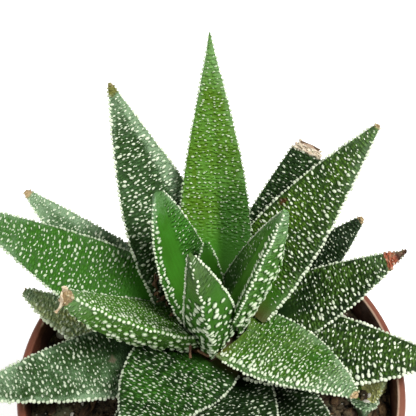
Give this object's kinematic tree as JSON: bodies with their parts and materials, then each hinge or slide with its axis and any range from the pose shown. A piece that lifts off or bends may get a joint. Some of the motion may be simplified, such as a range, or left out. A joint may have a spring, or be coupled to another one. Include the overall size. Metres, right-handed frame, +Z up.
{
  "type": "potted haworthia",
  "caption": "Rosette of stiff, pointed succulent leaves covered in white tubercles, growing from soil in a round plastic nursery pot.",
  "frame": {"origin": "centre of the pot's underside, on the surface that the pot stands on", "axes": "+Z up along the pot's axis, +Y towards the back of the plant, where its longest leaf leans, +X to the plant's right seen from the front"},
  "size_m": [0.1267, 0.1099, 0.1658],
  "materials": {
    "pot": "satin, thin terracotta-brown nursery plastic",
    "soil": "rough dark peat with bark chips and perlite",
    "stem": "rough, short and hidden among the leaf bases",
    "young_leaf": "waxy bright green with white tubercles",
    "leaf": "waxy mid green with white tubercles",
    "old_leaf": "waxy dark green with white tubercles",
    "offset": "dull grey green to yellow green"
  },
  "bodies": {
    "root": {"pot": "pot", "soil": "soil", "stem": "stem", "offset": "offset", "leaf_heart": "young_leaf", "leaf_inner_front": "young_leaf", "leaf_inner_right": "young_leaf", "leaf_inner_left": "young_leaf", "leaf_back_centre": "leaf", "leaf_front_left": "leaf", "leaf_front_right": "leaf", "leaf_back_right": "leaf", "leaf_back_left": "leaf", "leaf_front": "leaf", "leaf_left_long": "leaf", "leaf_right_long": "old_leaf", "leaf_back_right_cut": "old_leaf", "leaf_lower_left": "old_leaf", "leaf_right_dry_tip": "old_leaf", "leaf_front_lower": "old_leaf", "leaf_back_small": "old_leaf", "leaf_right_dark": "old_leaf", "leaf_front_lower_right": "old_leaf", "leaf_left_small": "old_leaf", "leaf_front_lower_left": "old_leaf", "leaf_low_back": "old_leaf", "leaf_low_back_left": "old_leaf", "leaf_low_back_right": "old_leaf"}
  },
  "joints": []
}
